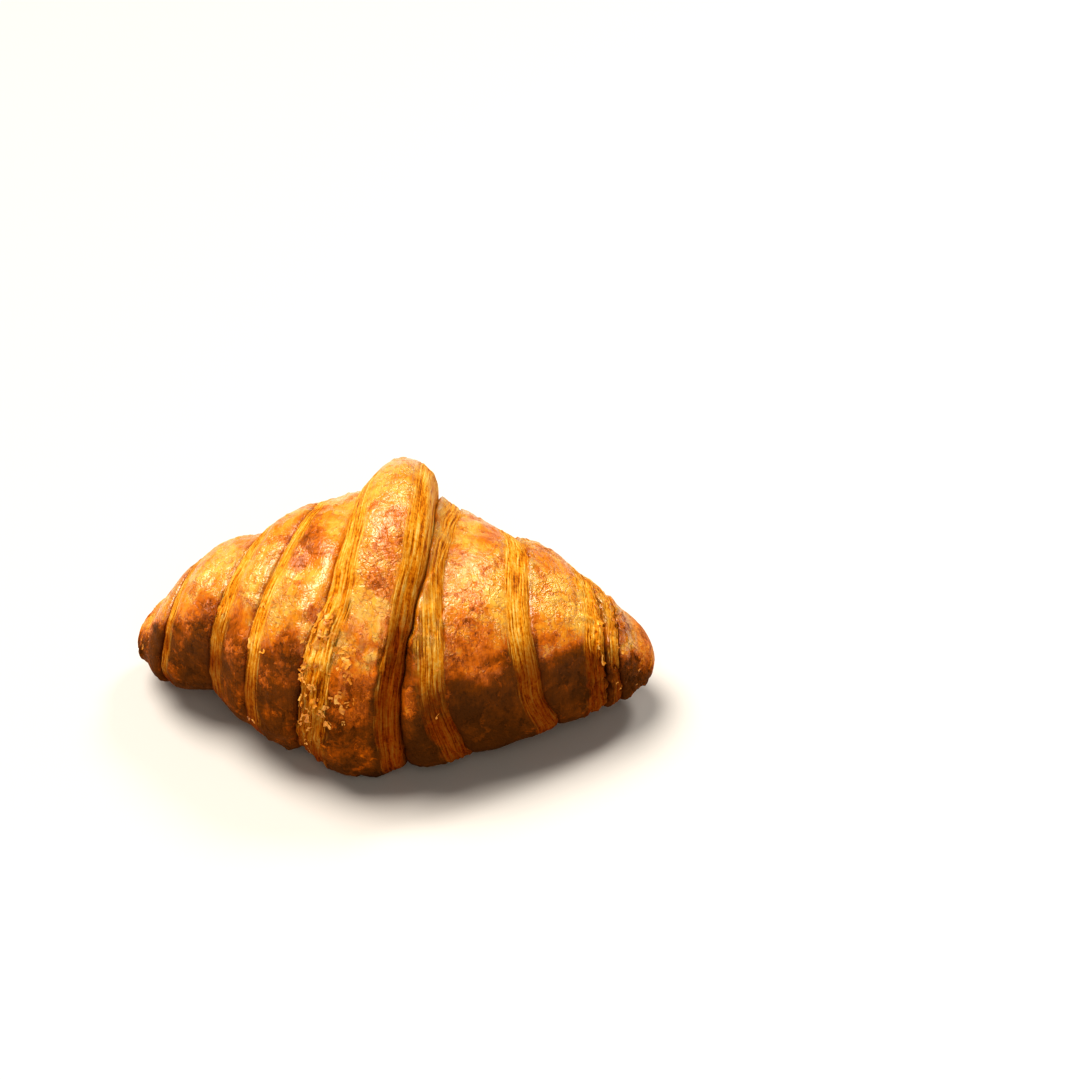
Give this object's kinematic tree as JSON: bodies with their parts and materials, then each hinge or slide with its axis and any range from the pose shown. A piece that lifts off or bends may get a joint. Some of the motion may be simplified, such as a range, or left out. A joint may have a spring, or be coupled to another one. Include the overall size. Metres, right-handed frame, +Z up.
{
  "type": "croissant",
  "caption": "Baked roll of coiled laminated dough: a fat spindle with tapering tips and shingled turns that rests on a flattened belly.",
  "frame": {"origin": "centre of the bounding box in plan, at the underside that rests on the table", "axes": "+X from the long arm's tip to the short arm's tip, +Y from the full convex side to the hollow side that the tips lean towards, +Z up through the crown"},
  "size_m": [0.1382, 0.0814, 0.0722],
  "materials": {
    "crust": null
  },
  "bodies": {
    "root": {"croissant": "crust"}
  },
  "joints": []
}
